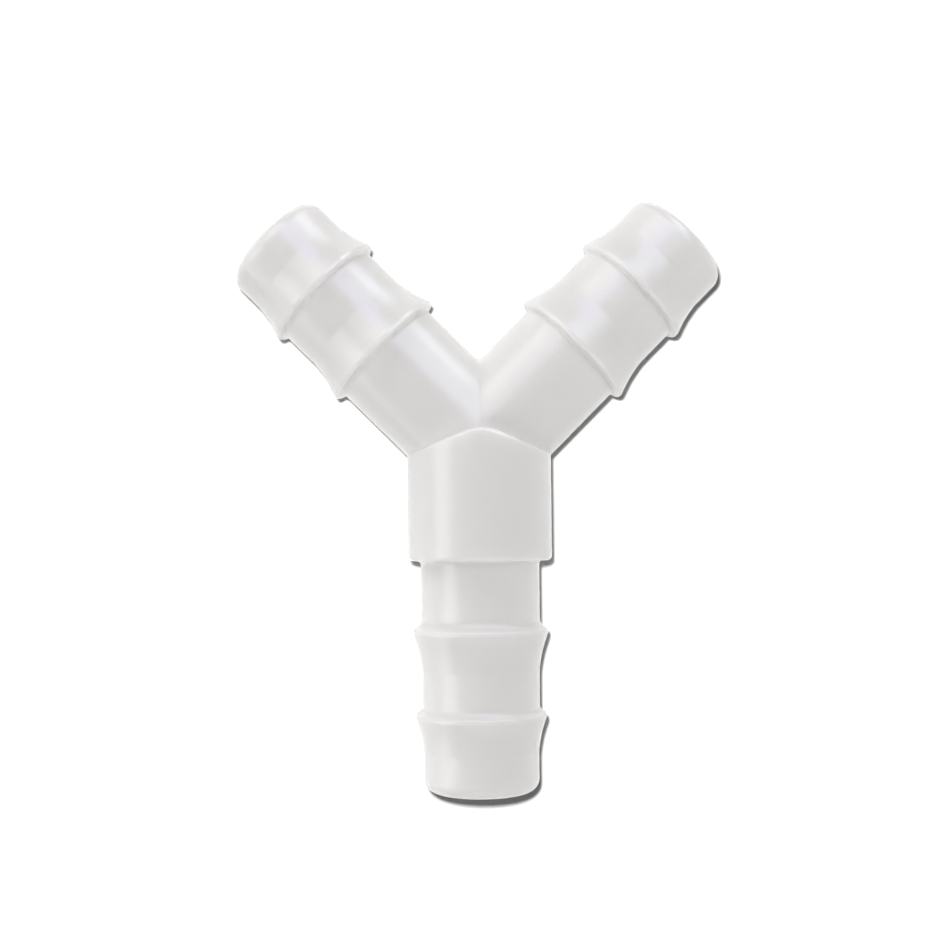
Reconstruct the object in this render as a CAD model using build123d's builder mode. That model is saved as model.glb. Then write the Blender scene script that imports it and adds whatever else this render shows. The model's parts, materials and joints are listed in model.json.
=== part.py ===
"""A one-piece Y connector for 12 mm bore tubing, moulded in natural plastic.

Three barbed tails meet in a hub on the Y axis: the stem points along -Y and the
two arms leave it at equal angles either side of +Y. The part lies flat, so all
three axes are in the XY plane and +Z is up. The origin is the centre of the
part's overall box. Sizes are in millimetres.
"""
from build123d import *
import math
import os

os.makedirs("parts", exist_ok=True)

# Layout: where each axis points and how far each mouth is from the meeting point
arm_half_angle = 45.0
arm_reach = 29.7
stem_reach = 35.0
bore_dia = 8.5

# Tail, shared by the three ends; distances are measured back from the mouth
root_dia = 12.0
mid_dia = 11.85
tip_dia = 11.6
inner_barb_dia = 13.65
outer_barb_dia = 13.2
inner_crest_from_mouth = 16.05
outer_crest_from_mouth = 7.6
inner_flare_from_mouth = 12.2
outer_flare_from_mouth = 4.1
crest_land = 0.45

# The step behind each barb is steep on the arms and gentler on the stem
arm_step_run = 0.50
stem_step_run = 1.10

# Softened edges of the tail
mouth_outer_radius = 1.30
mouth_inner_ease = 0.20
flare_hollow = 0.08

# Collar round the top of the stem, mitred to a blunt roof under the arms
collar_dia = 14.6
collar_base = 11.85
collar_peak = 1.30
collar_mitre_angle = 19.5
collar_peak_radius = 3.6
collar_rim_radius = 0.90
base_chamfer_share = 0.23
foot_chamfer_share = 0.31

# The legs are drawn from the hub, then the whole is moved to its own centre
half_angle = math.radians(arm_half_angle)
mouth_corner = tip_dia / 2 - mouth_outer_radius
arm_rise = (arm_reach - mouth_outer_radius) * math.cos(half_angle)
arm_top = arm_rise + mouth_corner * math.sin(half_angle) + mouth_outer_radius
hub_y = (stem_reach - arm_top) / 2

root_r = root_dia / 2
mid_r = mid_dia / 2
tip_r = tip_dia / 2
bore_r = bore_dia / 2
collar_r = collar_dia / 2

# The collar's ledge round the stem is shared out between its two chamfers
collar_ledge = collar_r - root_r
collar_base_chamfer = base_chamfer_share * collar_ledge
collar_foot_chamfer = foot_chamfer_share * collar_ledge


def flare_profile(crest_end, land_start):
    """Hollowed slope of one barb, from its crest down to the land in front of it."""
    middle_r = (crest_end[0] + land_start[0]) / 2 - 2 * flare_hollow
    middle_y = (crest_end[1] + land_start[1]) / 2
    return Bezier(crest_end, (middle_r, middle_y), land_start)


def barbed_tail(reach, step_run):
    """Solid of revolution about +Y, from the hub to a mouth at `reach`."""
    inner_r = inner_barb_dia / 2
    outer_r = outer_barb_dia / 2
    inner_crest = reach - inner_crest_from_mouth
    outer_crest = reach - outer_crest_from_mouth
    half_land = crest_land / 2
    inner_crest_end = (inner_r, inner_crest + half_land)
    outer_crest_end = (outer_r, outer_crest + half_land)
    mid_land_start = (mid_r, reach - inner_flare_from_mouth)
    tip_land_start = (tip_r, reach - outer_flare_from_mouth)
    with BuildPart() as tail:
        with BuildSketch(Plane.XY):
            with BuildLine():
                Polyline(
                    (0, reach),
                    (0, 0),
                    (root_r, 0),
                    (root_r, inner_crest - half_land - step_run),
                    (inner_r, inner_crest - half_land),
                    inner_crest_end,
                )
                flare_profile(inner_crest_end, mid_land_start)
                Polyline(
                    mid_land_start,
                    (mid_r, outer_crest - half_land - step_run),
                    (outer_r, outer_crest - half_land),
                    outer_crest_end,
                )
                flare_profile(outer_crest_end, tip_land_start)
                Polyline(tip_land_start, (tip_r, reach), (0, reach))
            make_face()
            mouth_corner_point = vertices().group_by(Axis.Y)[-1].sort_by(Axis.X)[-1]
            fillet(mouth_corner_point, radius=mouth_outer_radius)
        revolve(axis=Axis.Y)
    return tail.part


def bore_tool(reach):
    """Water way of one leg, with the inner edge of its mouth eased."""
    with BuildPart() as tool:
        with BuildSketch(Plane.XY):
            with BuildLine():
                Polyline(
                    (0, 0),
                    (bore_r, 0),
                    (bore_r, reach - mouth_inner_ease),
                    (bore_r + mouth_inner_ease, reach),
                    (bore_r + mouth_inner_ease, reach + 1.0),
                    (0, reach + 1.0),
                    close=True,
                )
            make_face()
        revolve(axis=Axis.Y)
    return tool.part


peak_drop = collar_r * math.tan(math.radians(collar_mitre_angle))

with BuildPart() as collar:
    with BuildSketch(Plane.XY):
        with BuildLine():
            Polyline(
                (-collar_r - 1, -collar_base),
                (collar_r + 1, -collar_base),
                (collar_r + 1, collar_peak - peak_drop * (collar_r + 1) / collar_r),
                (0, collar_peak),
                (-collar_r - 1, collar_peak - peak_drop * (collar_r + 1) / collar_r),
                close=True,
            )
        make_face()
        fillet(vertices().sort_by(Axis.Y)[-1], radius=collar_peak_radius)
    extrude(amount=collar_r + 1, both=True)
    with BuildSketch(Plane.XZ.offset(-5)):
        Circle(collar_r)
    extrude(amount=collar_base + 10, mode=Mode.INTERSECT)
    rim = edges().filter_by(GeomType.ELLIPSE) + edges().filter_by(GeomType.BSPLINE)
    fillet(rim, radius=collar_rim_radius)
    chamfer(edges().filter_by(GeomType.CIRCLE).sort_by(Axis.Y)[0], length=collar_base_chamfer)

with BuildPart() as y_body:
    add(collar.part)
    with Locations(Rotation(0, 0, 180)):
        add(barbed_tail(stem_reach, stem_step_run))
    foot_point = Vertex(0, -collar_base, root_r)
    circles = edges().filter_by(GeomType.CIRCLE)
    foot = circles.sort_by(lambda e: e.distance_to(foot_point))[0]
    chamfer(foot, length=collar_foot_chamfer)
    with Locations(Rotation(0, 0, arm_half_angle)):
        add(barbed_tail(arm_reach, arm_step_run))
    with Locations(Rotation(0, 0, -arm_half_angle)):
        add(barbed_tail(arm_reach, arm_step_run))
    with Locations(Rotation(0, 0, 180)):
        add(bore_tool(stem_reach), mode=Mode.SUBTRACT)
    with Locations(Rotation(0, 0, arm_half_angle)):
        add(bore_tool(arm_reach), mode=Mode.SUBTRACT)
    with Locations(Rotation(0, 0, -arm_half_angle)):
        add(bore_tool(arm_reach), mode=Mode.SUBTRACT)

y_body.part.move(Location((0, hub_y, 0)))
y_body.part.label = "y_body"
export_step(y_body.part, "parts/y_body.step")
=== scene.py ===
"""Looks for the tubing Y connector: milky natural plastic on a white studio floor.

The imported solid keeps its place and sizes. Its shown twin, built here, adds what the
solid leaves out: hollow steps behind the barbs, rounded crests, a rounded crotch and
soft junctions between the arms and the collar. The twin is drawn in millimetres from
the hub, the point where the three axes meet, and then moved to the frame.
"""
import json
import math

import bmesh
import bpy
import numpy as np
from mathutils import Matrix, Vector


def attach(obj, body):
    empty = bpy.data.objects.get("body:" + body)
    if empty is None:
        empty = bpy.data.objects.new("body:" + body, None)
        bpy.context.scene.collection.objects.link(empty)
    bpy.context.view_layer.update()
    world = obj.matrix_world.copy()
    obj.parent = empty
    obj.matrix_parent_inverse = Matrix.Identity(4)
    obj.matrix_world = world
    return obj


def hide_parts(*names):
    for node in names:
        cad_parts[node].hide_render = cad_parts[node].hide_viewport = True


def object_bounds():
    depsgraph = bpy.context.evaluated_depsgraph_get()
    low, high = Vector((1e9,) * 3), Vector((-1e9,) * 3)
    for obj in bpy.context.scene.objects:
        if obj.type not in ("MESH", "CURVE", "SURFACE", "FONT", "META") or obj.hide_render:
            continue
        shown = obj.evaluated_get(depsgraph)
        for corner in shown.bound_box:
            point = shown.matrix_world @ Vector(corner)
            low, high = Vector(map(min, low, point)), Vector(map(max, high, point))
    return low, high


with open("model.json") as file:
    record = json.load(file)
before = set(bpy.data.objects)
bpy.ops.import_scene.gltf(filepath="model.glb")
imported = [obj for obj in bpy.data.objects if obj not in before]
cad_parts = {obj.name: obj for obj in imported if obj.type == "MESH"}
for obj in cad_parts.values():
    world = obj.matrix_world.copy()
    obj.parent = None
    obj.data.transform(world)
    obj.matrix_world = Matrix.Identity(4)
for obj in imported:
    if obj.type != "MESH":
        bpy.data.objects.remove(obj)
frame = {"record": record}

cad_low, cad_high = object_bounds()

MM = 0.001
mounts = {mount["name"]: mount for mount in frame["record"]["mounts"]}

# Sizes read from the frame, in millimetres
left_point = Vector(mounts["left_bore"]["pos_m"]) / MM
left_axis = Vector(mounts["left_bore"]["axis"])
hub_y = left_point.y - left_point.x * left_axis.y / left_axis.x
half_angle = math.atan2(-left_axis.x, left_axis.y)
tip_r = mounts["stem_tail"]["dims"]["r_mm"]
bore_r = mounts["stem_bore"]["dims"]["r_mm"]
collar_r = cad_high.z / MM
stem_reach = hub_y - cad_low.y / MM

# Sizes of one tail, measured back from its mouth, and of the collar
root_r = 6.0
mid_r = 5.925
inner_barb_r = 6.825
outer_barb_r = 6.6
inner_crest_back = 16.05
outer_crest_back = 7.6
inner_flare_back = 12.2
outer_flare_back = 4.1
crest_land = 0.38
flare_hollow = 0.16
flare_hollow_round = 9.0
mouth_outer_round = 1.30
mouth_inner_round = 0.20
crest_back_round = 0.20
crest_front_round = 0.35
flare_blend = 2.6
collar_base = 11.85
collar_peak = 1.30
collar_mitre = math.radians(19.5)
collar_ridge_round = 3.6
collar_rim_round = 0.20
collar_base_round = 0.45
collar_foot_round = 0.42
crotch_round = 0.55
junction_round = 0.24

arm_corner_r = tip_r - mouth_outer_round
arm_rise = cad_high.y / MM - hub_y - mouth_outer_round - arm_corner_r * math.sin(half_angle)
arm_reach = arm_rise / math.cos(half_angle) + mouth_outer_round

# The step behind a barb: how steep it is under the crest, and how much of it is a hollow foot
STEP = {
    "arm": {"steepness": math.radians(79), "foot_share": 0.50},
    "stem": {"steepness": math.radians(60), "foot_share": 0.60},
}

# Fineness of the shown mesh, and how its hub is drawn
SEGMENTS = 144
ARC_STEP = math.radians(9)
HUB_GRID = 0.155
SMOOTHING_ROUNDS = 4
SETTLING_STEPS = 2
SLOPE_NUDGE = 0.01
SLOPE_FLOOR = 0.25
CUT_TOLERANCE = 1e-5
TINY = 1e-6

# Where the tails are zipped to the hub, and the half width and room of the box it is drawn in
ARM_CUT = 7.6
STEM_CUT = 3.2
ZIP_GAP = 0.25
HUB_HALF_WIDTH = 10.3
HUB_STEM_ROOM = 0.8
HUB_TOP_ROOM = 0.6

# The plastic, with its scattering length in millimetres
PLASTIC_LIGHT = (0.897, 0.885, 0.869, 1)
PLASTIC_DARK = (0.847, 0.836, 0.821, 1)
PLASTIC_IOR = 1.49
PLASTIC_GLOSS = 0.5
PLASTIC_ROUGHNESS = 0.25
PLASTIC_SCATTER = 1.2

# Its grain: size and depth in millimetres, and how far it moves the tone and the roughness
GRAINS = {
    "cloud": {"size": 4.0, "depth": 0.0, "tone": 0.010, "roughness": 0.006},
    "mottle": {"size": 0.9, "depth": 0.0035, "tone": 0.008, "roughness": 0.008},
    "speckle": {"size": 0.22, "depth": 0.0024, "tone": 0.006, "roughness": 0.0},
}
MIDDLE_TONE = 0.5
NOISE_DETAIL = 2.0
NOISE_RANGE = (0.3, 0.7)

# The floor and the white air round it: what is seen of them, and the light they throw on the part
FLOOR_SIZE = 2000.0
FLOOR_WHITE = 0.9
FLOOR_BOUNCE = 0.17
FLOOR_FADE = (72.0, 110.0)
AIR_LIGHT = 0.1

# Round softboxes: azimuth from +X and height above the floor in degrees, watts, tint.
# The cool and lilac ones give the bluish highlights of the photo.
NEUTRAL = (1.0, 1.0, 1.0)
COOL = (0.82, 0.82, 1.02)
LILAC = (0.74, 0.67, 1.20)
SOFTBOX_SIZE = 220.0
SOFTBOX_DISTANCE = 400.0

# Fill boxes light the plastic evenly from all round and leave no reflection
FILL_BOXES = {
    "fill_right": (0, 30, 0.40, NEUTRAL),
    "fill_back": (90, 10, 0.25, NEUTRAL),
    "fill_back_high": (90, 55, 0.40, NEUTRAL),
    "fill_back_left": (120, 10, 0.65, NEUTRAL),
    "fill_front_left": (210, 10, 0.50, NEUTRAL),
    "fill_front_high": (225, 30, 0.50, NEUTRAL),
    "fill_front_right": (330, 10, 0.50, NEUTRAL),
}

# Gloss boxes show only as reflections: a bright band behind the part, from its right to its left
GLOSS_BOXES = {
    "gloss_right_low": (60, 10, 0.55, COOL),
    "gloss_right": (60, 30, 0.40, COOL),
    "gloss_right_high": (45, 55, 0.45, COOL),
    "gloss_back_high": (90, 50, 0.50, LILAC),
    "gloss_left_high": (135, 55, 0.20, NEUTRAL),
    "gloss_back_left": (120, 30, 0.35, NEUTRAL),
    "gloss_left": (180, 30, 0.35, NEUTRAL),
    "gloss_front_left": (205, 10, 0.20, NEUTRAL),
}

# The lamp that lights the floor alone, placed from the camera
FLOOR_LAMP_OFFSET = (-5.2, 9.4, 0.0)
FLOOR_LAMP_RADIUS = 3.5
FLOOR_LAMP_STRENGTH = 50.0

# The camera: its place in millimetres and its turn from straight down in radians
CAMERA_PLACE = (-2.69, -4.16, 137.5)
CAMERA_TURN = (0.0449, -0.0164, -0.0089)
SENSOR_WIDTH = 36.0
CAMERA_LENS = 51.19
CAMERA_NEAR = 1.0


def corner_arc(spot, into, out, rounding):
    """Points and outward normals of the arc that rounds one corner of an outline."""
    turn = math.atan2(into[0] * out[1] - into[1] * out[0], into @ out)
    reach = rounding * math.tan(abs(turn) / 2)
    start = spot - into * reach
    side = math.copysign(1.0, turn)
    centre = start + side * rounding * np.array([-into[1], into[0]])
    arm = start - centre
    count = max(2, math.ceil(abs(turn) / ARC_STEP))
    points, normals = [], []
    for k in range(count + 1):
        a = turn * k / count
        spoke = np.array([arm[0] * math.cos(a) - arm[1] * math.sin(a),
                          arm[0] * math.sin(a) + arm[1] * math.cos(a)])
        points.append(centre + spoke)
        normals.append(-side * spoke / rounding)
    return points, normals


def rounded_path(corners):
    """Points and outward normals along (station, radius, rounding) corners, arcs included."""
    spots = [np.array(corner[:2]) for corner in corners]
    runs = [(end - start) / np.linalg.norm(end - start) for start, end in zip(spots, spots[1:])]
    points = [spots[0]]
    normals = [np.array([-runs[0][1], runs[0][0]])]
    for corner, spot, into, out in zip(corners[1:], spots[1:], runs, runs[1:]):
        arc_points, arc_normals = corner_arc(spot, into, out, corner[2])
        points += arc_points
        normals += arc_normals
    points.append(spots[-1])
    normals.append(np.array([-runs[-1][1], runs[-1][0]]))
    return np.array(points), np.array(normals)


def barb_corners(reach, crest_back, flare_back, crest_r, back_r, front_r, step):
    """Corners of one barb, from the foot of its step to the land in front of its flare."""
    crest = reach - crest_back
    land_start = reach - flare_back
    crest_end = crest + crest_land / 2
    rise = crest_r - back_r
    foot_round = step["foot_share"] * rise / math.sin(step["steepness"]) / math.tan(step["steepness"] / 2)
    return [
        (crest - crest_land / 2 - rise / math.tan(step["steepness"]), back_r, foot_round),
        (crest - crest_land / 2, crest_r, crest_back_round),
        (crest_end, crest_r, crest_front_round),
        ((crest_end + land_start) / 2, (crest_r + front_r) / 2 - flare_hollow, flare_hollow_round),
        (land_start, front_r, flare_blend),
    ]


def tail_path(cut, reach, step, collar):
    """Outline of one tail: outside from the cut to the mouth, then back along the bore."""
    corners = [(cut, collar_r if collar else root_r, 0)]
    if collar:
        corners += [(collar_base, collar_r, collar_base_round), (collar_base, root_r, collar_foot_round)]
    corners += barb_corners(reach, inner_crest_back, inner_flare_back, inner_barb_r, root_r, mid_r, step)
    corners += barb_corners(reach, outer_crest_back, outer_flare_back, outer_barb_r, mid_r, tip_r, step)
    corners += [
        (reach, tip_r, mouth_outer_round),
        (reach, bore_r, mouth_inner_round),
        (cut, bore_r, 0),
    ]
    return rounded_path(corners)


def leg_frame(angle):
    """Axis of a leg and its in-plane side direction; the angle is turned from +Y to -X."""
    axis = np.array([-math.sin(angle), math.cos(angle), 0.0])
    side = np.array([math.cos(angle), math.sin(angle), 0.0])
    return axis, side


def ray_distance(points, axis):
    """Distance from a leg's axis, which starts at the hub."""
    along = np.maximum(points @ axis, 0)
    return np.linalg.norm(points - along[:, None] * axis, axis=1)


def rounded_union(a, b, radius):
    """Union of two fields with a hollow rounding of that radius where they meet."""
    inner = np.hypot(np.minimum(a - radius, 0), np.minimum(b - radius, 0))
    return np.maximum(np.minimum(a, b), radius) - inner


def rounded_overlap(a, b, radius):
    """What two fields share, with its edge rounded."""
    outer = np.hypot(np.maximum(a + radius, 0), np.maximum(b + radius, 0))
    return np.minimum(np.maximum(a, b), -radius) + outer


def collar_field(points):
    """The collar: a cylinder under a blunt roof, with a rounded rim."""
    x, y = np.abs(points[:, 0]), points[:, 1]
    ridge_y = collar_peak - collar_ridge_round / math.cos(collar_mitre)
    roof = (y - collar_peak) * math.cos(collar_mitre) + x * math.sin(collar_mitre)
    ridge = np.hypot(x, y - ridge_y) - collar_ridge_round
    top = np.where(x * math.cos(collar_mitre) < (y - ridge_y) * math.sin(collar_mitre), ridge, roof)
    wall = np.hypot(points[:, 0], points[:, 2]) - collar_r
    return rounded_overlap(wall, top, collar_rim_round)


def hub_field(points):
    """Signed distance to the hub's skin, below zero inside the plastic."""
    left, _ = leg_frame(half_angle)
    right, _ = leg_frame(-half_angle)
    stem, _ = leg_frame(math.pi)
    arm_a = ray_distance(points, left) - root_r
    arm_b = ray_distance(points, right) - root_r
    # The arms' walls turn parallel over the top of the hub, and need no rounding there
    share = np.clip(1 - (points[:, 2] / root_r) ** 2, 0.0, 1.0)
    arms = rounded_union(arm_a, arm_b, TINY + crotch_round * share)
    outside = rounded_union(arms, collar_field(points), junction_round)
    bores = np.min([ray_distance(points, leg) for leg in (left, right, stem)], axis=0) - bore_r
    return np.maximum(outside, -bores)


def field_slope(field, points):
    """Gradient of a field by central differences."""
    slope = np.empty_like(points)
    for axis in range(3):
        shift = np.zeros(3)
        shift[axis] = SLOPE_NUDGE
        slope[:, axis] = (field(points + shift) - field(points - shift)) / (2 * SLOPE_NUDGE)
    return slope


def crossed_edges(inside, axis):
    """Where the grid's edges along one axis start that cross the skin, clear of its border."""
    head = [slice(None)] * 3
    tail = [slice(None)] * 3
    head[axis] = slice(1, None)
    tail[axis] = slice(None, -1)
    starts = np.argwhere(inside[tuple(tail)] != inside[tuple(head)])
    for other in ((axis + 1) % 3, (axis + 2) % 3):
        clear = (starts[:, other] > 0) & (starts[:, other] < inside.shape[other] - 1)
        starts = starts[clear]
    return starts


def crossing_places(value, starts, axis, corner, grid):
    """The points at which those edges meet the skin."""
    ends = starts.copy()
    ends[:, axis] += 1
    from_value = value[tuple(starts.T)]
    to_value = value[tuple(ends.T)]
    places = corner + starts * grid
    places[:, axis] += grid * from_value / (from_value - to_value)
    return places


def cells_round(starts, axis):
    """The four grid cells that share each edge, in turn round it."""
    cells = []
    for b_step, c_step in ((0, 0), (-1, 0), (-1, -1), (0, -1)):
        cell = starts.copy()
        cell[:, (axis + 1) % 3] += b_step
        cell[:, (axis + 2) % 3] += c_step
        cells.append(cell)
    return cells


def skin_from_field(field, low, high, grid):
    """Quads round the zero level of a field: one point in each grid cell that it crosses."""
    lines = [np.arange(start, end, grid) for start, end in zip(low, high)]
    corner = np.array([line[0] for line in lines])
    nodes = np.stack(np.meshgrid(*lines, indexing="ij"), -1)
    value = field(nodes.reshape(-1, 3)).reshape(nodes.shape[:3])
    inside = value < 0
    cell_ids = np.arange(value.size).reshape(value.shape)
    sums = np.zeros(value.shape + (3,))
    counts = np.zeros(value.shape)
    quads = []
    for axis in range(3):
        starts = crossed_edges(inside, axis)
        places = crossing_places(value, starts, axis, corner, grid)
        cells = cells_round(starts, axis)
        for cell in cells:
            np.add.at(sums, tuple(cell.T), places)
            np.add.at(counts, tuple(cell.T), 1)
        quad = np.stack([cell_ids[tuple(cell.T)] for cell in cells], 1)
        outward = inside[tuple(starts.T)]
        quads.append(np.where(outward[:, None], quad, quad[:, ::-1]))
    used, numbered = np.unique(np.concatenate(quads), return_inverse=True)
    points = sums.reshape(-1, 3)[used] / counts.reshape(-1)[used][:, None]
    return points, numbered.reshape(-1, 4)


def settle_on_skin(field, points, quads):
    """Evens out the points and drops them exactly on the field's zero level."""
    edges = np.concatenate([quads[:, [0, 1]], quads[:, [1, 2]], quads[:, [2, 3]], quads[:, [3, 0]]])
    for _ in range(SMOOTHING_ROUNDS):
        total = np.zeros_like(points)
        count = np.zeros(len(points))
        for a, b in ((0, 1), (1, 0)):
            np.add.at(total, edges[:, a], points[edges[:, b]])
            np.add.at(count, edges[:, a], 1)
        points = points + 0.5 * (total / count[:, None] - points)
        for _ in range(SETTLING_STEPS):
            slope = field_slope(field, points)
            size = np.maximum((slope ** 2).sum(1), SLOPE_FLOOR)
            points = points - (field(points) / size)[:, None] * slope
    return points


def in_turn(ring, side, up):
    """A ring's vertices in order of their angle round the axis, and the angles."""
    angles = [math.atan2(np.array(vertex.co) @ up, np.array(vertex.co) @ side) for vertex in ring]
    order = np.argsort(angles)
    return [ring[i] for i in order], [angles[i] for i in order]


def zip_rings(shape, ring_a, ring_b, side, up):
    """Triangles between two rings of points round one axis, whatever their counts."""
    ring_a, angle_a = in_turn(ring_a, side, up)
    ring_b, angle_b = in_turn(ring_b, side, up)
    i = j = 0
    while i < len(ring_a) or j < len(ring_b):
        next_a = angle_a[i + 1] if i + 1 < len(ring_a) else angle_a[0] + 2 * math.pi
        next_b = angle_b[j + 1] if j + 1 < len(ring_b) else angle_b[0] + 2 * math.pi
        a, b = ring_a[i % len(ring_a)], ring_b[j % len(ring_b)]
        if j == len(ring_b) or (i < len(ring_a) and next_a <= next_b):
            third = ring_a[(i + 1) % len(ring_a)]
            i += 1
        else:
            third = ring_b[(j + 1) % len(ring_b)]
            j += 1
        shape.faces.new((a, b, third))


def cut_hub(shape, axis, station):
    """Cuts the hub square across one leg and returns the vertices on the cut."""
    geometry = shape.verts[:] + shape.edges[:] + shape.faces[:]
    cut = bmesh.ops.bisect_plane(shape, geom=geometry, dist=CUT_TOLERANCE, clear_outer=True,
                                 plane_co=Vector(axis * station), plane_no=Vector(axis))
    return [item for item in cut["geom_cut"] if isinstance(item, bmesh.types.BMVert)]


def round_rims(rim, axis, station, outer_r):
    """Sorts a cut's vertices into its outer and its bore rim, and makes each a true circle."""
    outer_rim, bore_rim = [], []
    for vertex in rim:
        place = np.array(vertex.co)
        spoke = place - (place @ axis) * axis
        distance = np.linalg.norm(spoke)
        is_outer = distance > (bore_r + root_r) / 2
        radius = outer_r if is_outer else bore_r
        vertex.co = axis * station + spoke / distance * radius
        (outer_rim if is_outer else bore_rim).append(vertex)
    return outer_rim, bore_rim


def turn_rings(shape, normals_of, path, axis, side, up):
    """Turns an outline round an axis: one ring of vertices for each of its points."""
    rings = []
    for (station, radius), (slope_along, slope_out) in zip(*path):
        ring = []
        for k in range(SEGMENTS):
            angle = 2 * math.pi * k / SEGMENTS
            spoke = math.cos(angle) * side + math.sin(angle) * up
            vertex = shape.verts.new(axis * station + radius * spoke)
            normals_of[vertex] = axis * slope_along + spoke * slope_out
            ring.append(vertex)
        rings.append(ring)
    for back, front in zip(rings, rings[1:]):
        for k in range(SEGMENTS):
            m = (k + 1) % SEGMENTS
            shape.faces.new((back[k], back[m], front[m], front[k]))
    return rings


def add_tail(shape, normals_of, angle, cut, reach, step, collar):
    """Turns one tail round its axis and zips it to the hub."""
    axis, side = leg_frame(angle)
    up = np.array([0.0, 0.0, 1.0])
    rim = cut_hub(shape, axis, cut)
    outer_rim, bore_rim = round_rims(rim, axis, cut, collar_r if collar else root_r)
    rings = turn_rings(shape, normals_of, tail_path(cut + ZIP_GAP, reach, step, collar), axis, side, up)
    zip_rings(shape, outer_rim, rings[0], side, up)
    zip_rings(shape, bore_rim, rings[-1], side, up)


def skin_normals(shape, normals_of):
    """Unit normals of all vertices: the tails' own, and the field's slope on the hub."""
    shape.verts.index_update()
    places = np.array([vertex.co for vertex in shape.verts])
    normals = field_slope(hub_field, places)
    for vertex, normal in normals_of.items():
        normals[vertex.index] = normal
    return normals / np.maximum(np.linalg.norm(normals, axis=1), TINY)[:, None]


def make_body():
    """The shown body: one closed skin from the three tails and the hub between them."""
    low = (-HUB_HALF_WIDTH, -STEM_CUT - HUB_STEM_ROOM, -collar_r - HUB_TOP_ROOM)
    high = (HUB_HALF_WIDTH, HUB_HALF_WIDTH, collar_r + HUB_TOP_ROOM)
    points, quads = skin_from_field(hub_field, low, high, HUB_GRID)
    points = settle_on_skin(hub_field, points, quads)
    shape = bmesh.new()
    verts = [shape.verts.new(point) for point in points]
    for quad in quads:
        shape.faces.new([verts[i] for i in quad])
    normals_of = {}
    add_tail(shape, normals_of, math.pi, STEM_CUT, stem_reach, STEP["stem"], True)
    add_tail(shape, normals_of, half_angle, ARM_CUT, arm_reach, STEP["arm"], False)
    add_tail(shape, normals_of, -half_angle, ARM_CUT, arm_reach, STEP["arm"], False)
    bmesh.ops.recalc_face_normals(shape, faces=shape.faces[:])
    normals = skin_normals(shape, normals_of)
    shape.transform(Matrix.Translation((0, hub_y, 0)))
    for vertex in shape.verts:
        vertex.co *= MM
    data = bpy.data.meshes.new("moulded_body")
    shape.to_mesh(data)
    shape.free()
    for polygon in data.polygons:
        polygon.use_smooth = True
    data.normals_split_custom_set_from_vertices([tuple(normal) for normal in normals])
    return link_in_scene("moulded_body", data)


def link_in_scene(name, data):
    """A new object that carries this data, in the scene."""
    made = bpy.data.objects.new(name, data)
    bpy.context.scene.collection.objects.link(made)
    return made


def add_node(tree, kind, **settings):
    """A new node with its settings and its unlinked inputs filled in."""
    node = tree.nodes.new(kind)
    for name, value in settings.items():
        if name in node.inputs:
            node.inputs[name].default_value = value
        else:
            setattr(node, name, value)
    return node


def noise_at(tree, place, grain):
    """Noise from about -1 to 1 whose spots are one grain (in metres) across."""
    noise = add_node(tree, "ShaderNodeTexNoise", Scale=1 / grain, Detail=NOISE_DETAIL)
    spread = add_node(tree, "ShaderNodeMapRange", clamp=False)
    spread.inputs["From Min"].default_value = NOISE_RANGE[0]
    spread.inputs["From Max"].default_value = NOISE_RANGE[1]
    spread.inputs["To Min"].default_value = -1.0
    tree.links.new(place, noise.inputs["Vector"])
    tree.links.new(noise.outputs["Fac"], spread.inputs["Value"])
    return spread.outputs["Result"]


def grain_sum(tree, noises, effect, start, scale=1.0):
    """A start value plus what each grain does to one effect, where it does anything."""
    total = start
    for name, noise in noises.items():
        factor = GRAINS[name][effect] * scale
        if factor == 0:
            continue
        step = add_node(tree, "ShaderNodeMath", operation="MULTIPLY_ADD")
        tree.links.new(noise, step.inputs[0])
        step.inputs[1].default_value = factor
        if isinstance(total, float):
            step.inputs[2].default_value = total
        else:
            tree.links.new(total, step.inputs[2])
        total = step.outputs[0]
    return total


def natural_plastic():
    """Milky natural plastic: light scatters inside it, and its skin is satin and finely grained."""
    material = bpy.data.materials.new("natural_plastic")
    material.use_nodes = True
    tree = material.node_tree
    shader = tree.nodes["Principled BSDF"]
    shader.inputs["IOR"].default_value = PLASTIC_IOR
    shader.inputs["Specular IOR Level"].default_value = PLASTIC_GLOSS
    shader.inputs["Subsurface Weight"].default_value = 1.0
    shader.inputs["Subsurface Radius"].default_value = (1.0, 1.0, 1.0)
    shader.inputs["Subsurface Scale"].default_value = PLASTIC_SCATTER * MM

    place = add_node(tree, "ShaderNodeTexCoord").outputs["Object"]
    noises = {name: noise_at(tree, place, grain["size"] * MM) for name, grain in GRAINS.items()}

    colour = add_node(tree, "ShaderNodeMix", data_type="RGBA")
    colour.inputs["A"].default_value = PLASTIC_DARK
    colour.inputs["B"].default_value = PLASTIC_LIGHT
    tree.links.new(grain_sum(tree, noises, "tone", MIDDLE_TONE), colour.inputs["Factor"])
    tree.links.new(colour.outputs["Result"], shader.inputs["Base Color"])

    gloss = grain_sum(tree, noises, "roughness", PLASTIC_ROUGHNESS)
    tree.links.new(gloss, shader.inputs["Roughness"])

    height = grain_sum(tree, noises, "depth", 0.0, MM)
    bump = add_node(tree, "ShaderNodeBump", Strength=1.0, Distance=1.0)
    tree.links.new(height, bump.inputs["Height"])
    tree.links.new(bump.outputs["Normal"], shader.inputs["Normal"])
    return material


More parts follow.
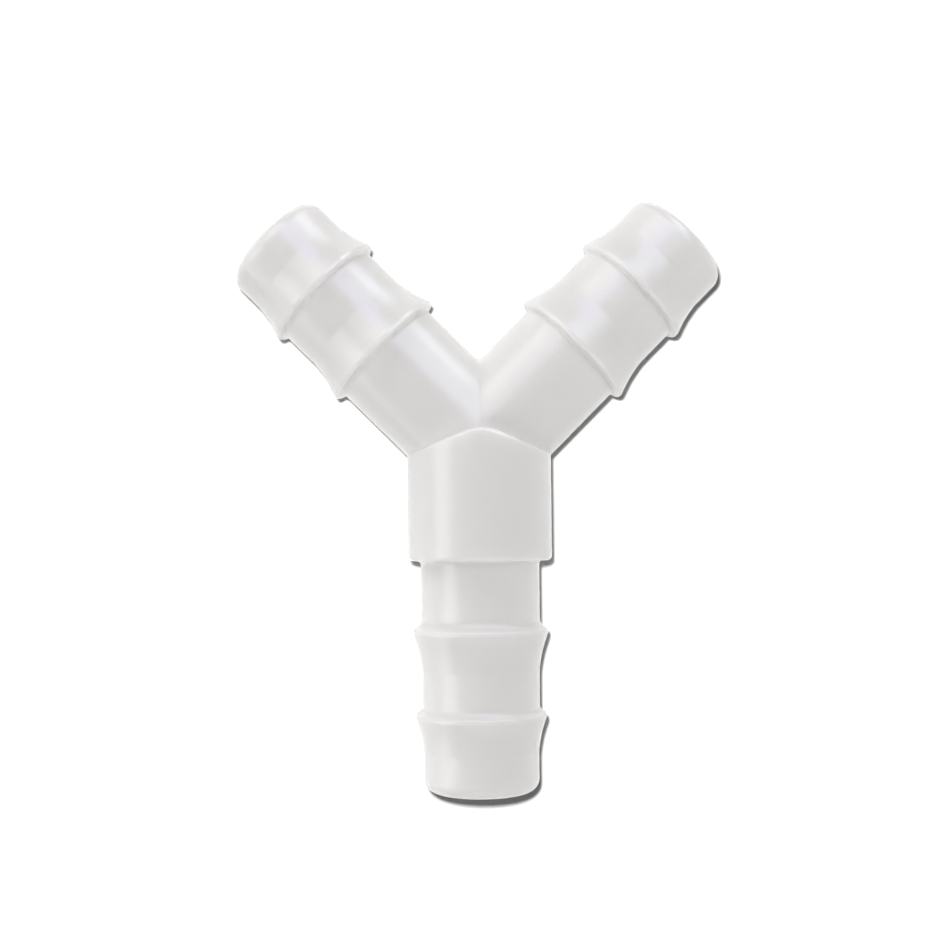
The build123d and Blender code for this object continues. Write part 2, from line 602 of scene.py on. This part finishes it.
def seen_directly(tree):
    """1 for rays from the eye or off a gloss or through glass, and 0 for scattered light."""
    rays = add_node(tree, "ShaderNodeLightPath").outputs
    either = add_node(tree, "ShaderNodeMath", operation="MAXIMUM")
    tree.links.new(rays["Is Camera Ray"], either.inputs[0])
    tree.links.new(rays["Is Glossy Ray"], either.inputs[1])
    any_of = add_node(tree, "ShaderNodeMath", operation="MAXIMUM")
    tree.links.new(either.outputs[0], any_of.inputs[0])
    tree.links.new(rays["Is Transmission Ray"], any_of.inputs[1])
    return any_of.outputs[0]


def white_floor_material():
    """White where it is seen and dim where it lights the part; it fades to plain white far out."""
    material = bpy.data.materials.new("floor_white")
    material.use_nodes = True
    tree = material.node_tree
    seen = seen_directly(tree)
    tree.nodes.remove(tree.nodes["Principled BSDF"])

    colour = add_node(tree, "ShaderNodeMix", data_type="RGBA")
    colour.inputs["A"].default_value = (FLOOR_BOUNCE, FLOOR_BOUNCE, FLOOR_BOUNCE, 1)
    colour.inputs["B"].default_value = (FLOOR_WHITE, FLOOR_WHITE, FLOOR_WHITE, 1)
    tree.links.new(seen, colour.inputs["Factor"])
    surface = add_node(tree, "ShaderNodeBsdfDiffuse")
    tree.links.new(colour.outputs["Result"], surface.inputs["Color"])

    place = add_node(tree, "ShaderNodeTexCoord").outputs["Object"]
    distance = add_node(tree, "ShaderNodeVectorMath", operation="LENGTH")
    tree.links.new(place, distance.inputs[0])
    fade = add_node(tree, "ShaderNodeMapRange", interpolation_type="SMOOTHSTEP")
    fade.inputs["From Min"].default_value = FLOOR_FADE[0] * MM
    fade.inputs["From Max"].default_value = FLOOR_FADE[1] * MM
    tree.links.new(distance.outputs["Value"], fade.inputs["Value"])
    far = add_node(tree, "ShaderNodeMath", operation="MULTIPLY")
    tree.links.new(fade.outputs["Result"], far.inputs[0])
    tree.links.new(seen, far.inputs[1])

    backdrop = add_node(tree, "ShaderNodeEmission", Strength=1.0)
    blend = add_node(tree, "ShaderNodeMixShader")
    tree.links.new(far.outputs[0], blend.inputs["Fac"])
    tree.links.new(surface.outputs["BSDF"], blend.inputs[1])
    tree.links.new(backdrop.outputs["Emission"], blend.inputs[2])
    tree.links.new(blend.outputs["Shader"], tree.nodes["Material Output"].inputs["Surface"])
    return material


def lay_floor():
    """A plain white floor under the part."""
    half = FLOOR_SIZE * MM / 2
    data = bpy.data.meshes.new("floor")
    corners = [(-half, -half, 0), (half, -half, 0), (half, half, 0), (-half, half, 0)]
    data.from_pydata(corners, [], [(0, 1, 2, 3)])
    data.materials.append(white_floor_material())
    floor = link_in_scene("floor", data)
    floor.location.z = cad_low.z
    return floor


def hang_world():
    """White surroundings that light the part only dimly."""
    world = bpy.data.worlds.new("studio_air")
    world.use_nodes = True
    tree = world.node_tree
    strength = add_node(tree, "ShaderNodeMapRange")
    strength.inputs["To Min"].default_value = AIR_LIGHT
    strength.inputs["To Max"].default_value = 1.0
    tree.links.new(seen_directly(tree), strength.inputs["Value"])
    background = tree.nodes["Background"]
    background.inputs["Color"].default_value = (1, 1, 1, 1)
    tree.links.new(strength.outputs["Result"], background.inputs["Strength"])
    bpy.context.scene.world = world


def light_only(lamp, receiver):
    """Keeps a lamp's light to one object, and the lamp itself out of sight."""
    group = bpy.data.collections.new(lamp.name + "_lights")
    group.objects.link(receiver)
    lamp.light_linking.receiver_collection = group
    lamp.visible_camera = False


def hang_softbox(name, azimuth, height, watts, tint, receiver):
    """A round softbox in the given direction, aimed at the part."""
    azimuth, height = math.radians(azimuth), math.radians(height)
    toward = Vector((math.cos(azimuth) * math.cos(height),
                     math.sin(azimuth) * math.cos(height),
                     math.sin(height)))
    data = bpy.data.lights.new(name, "AREA")
    data.shape = "DISK"
    data.size = SOFTBOX_SIZE * MM
    data.energy = watts
    data.color = tint
    lamp = link_in_scene(name, data)
    lamp.location = toward * SOFTBOX_DISTANCE * MM
    lamp.rotation_euler = (-toward).to_track_quat("-Z", "Y").to_euler()
    light_only(lamp, receiver)
    return lamp


def hang_floor_lamp(floor, eye):
    """The lamp that whitens the floor from beside the camera, and draws the part's thin shadow."""
    data = bpy.data.lights.new("floor_lamp", "POINT")
    data.shadow_soft_size = FLOOR_LAMP_RADIUS * MM
    data.energy = 1.0
    data.use_nodes = True
    tree = data.node_tree
    falloff = add_node(tree, "ShaderNodeLightFalloff", Strength=FLOOR_LAMP_STRENGTH)
    tree.links.new(falloff.outputs["Constant"], tree.nodes["Emission"].inputs["Strength"])
    lamp = link_in_scene("floor_lamp", data)
    lamp.location = eye + Vector(FLOOR_LAMP_OFFSET) * MM
    light_only(lamp, floor)


def set_camera():
    """The camera, nearly straight above, as the part was photographed."""
    data = bpy.data.cameras.new("camera")
    data.sensor_width = SENSOR_WIDTH
    data.lens = CAMERA_LENS
    data.clip_start = CAMERA_NEAR * MM
    camera = link_in_scene("camera", data)
    camera.location = Vector(CAMERA_PLACE) * MM
    camera.rotation_euler = CAMERA_TURN
    bpy.context.scene.camera = camera
    return camera


body = make_body()
body.data.materials.append(natural_plastic())
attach(body, "root")
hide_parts("y_body")

camera = set_camera()
hang_world()
hang_floor_lamp(lay_floor(), camera.location)
for softbox, setting in FILL_BOXES.items():
    hang_softbox(softbox, *setting, body).visible_glossy = False
for softbox, setting in GLOSS_BOXES.items():
    hang_softbox(softbox, *setting, body).visible_diffuse = False

bpy.context.scene.view_settings.view_transform = "Standard"
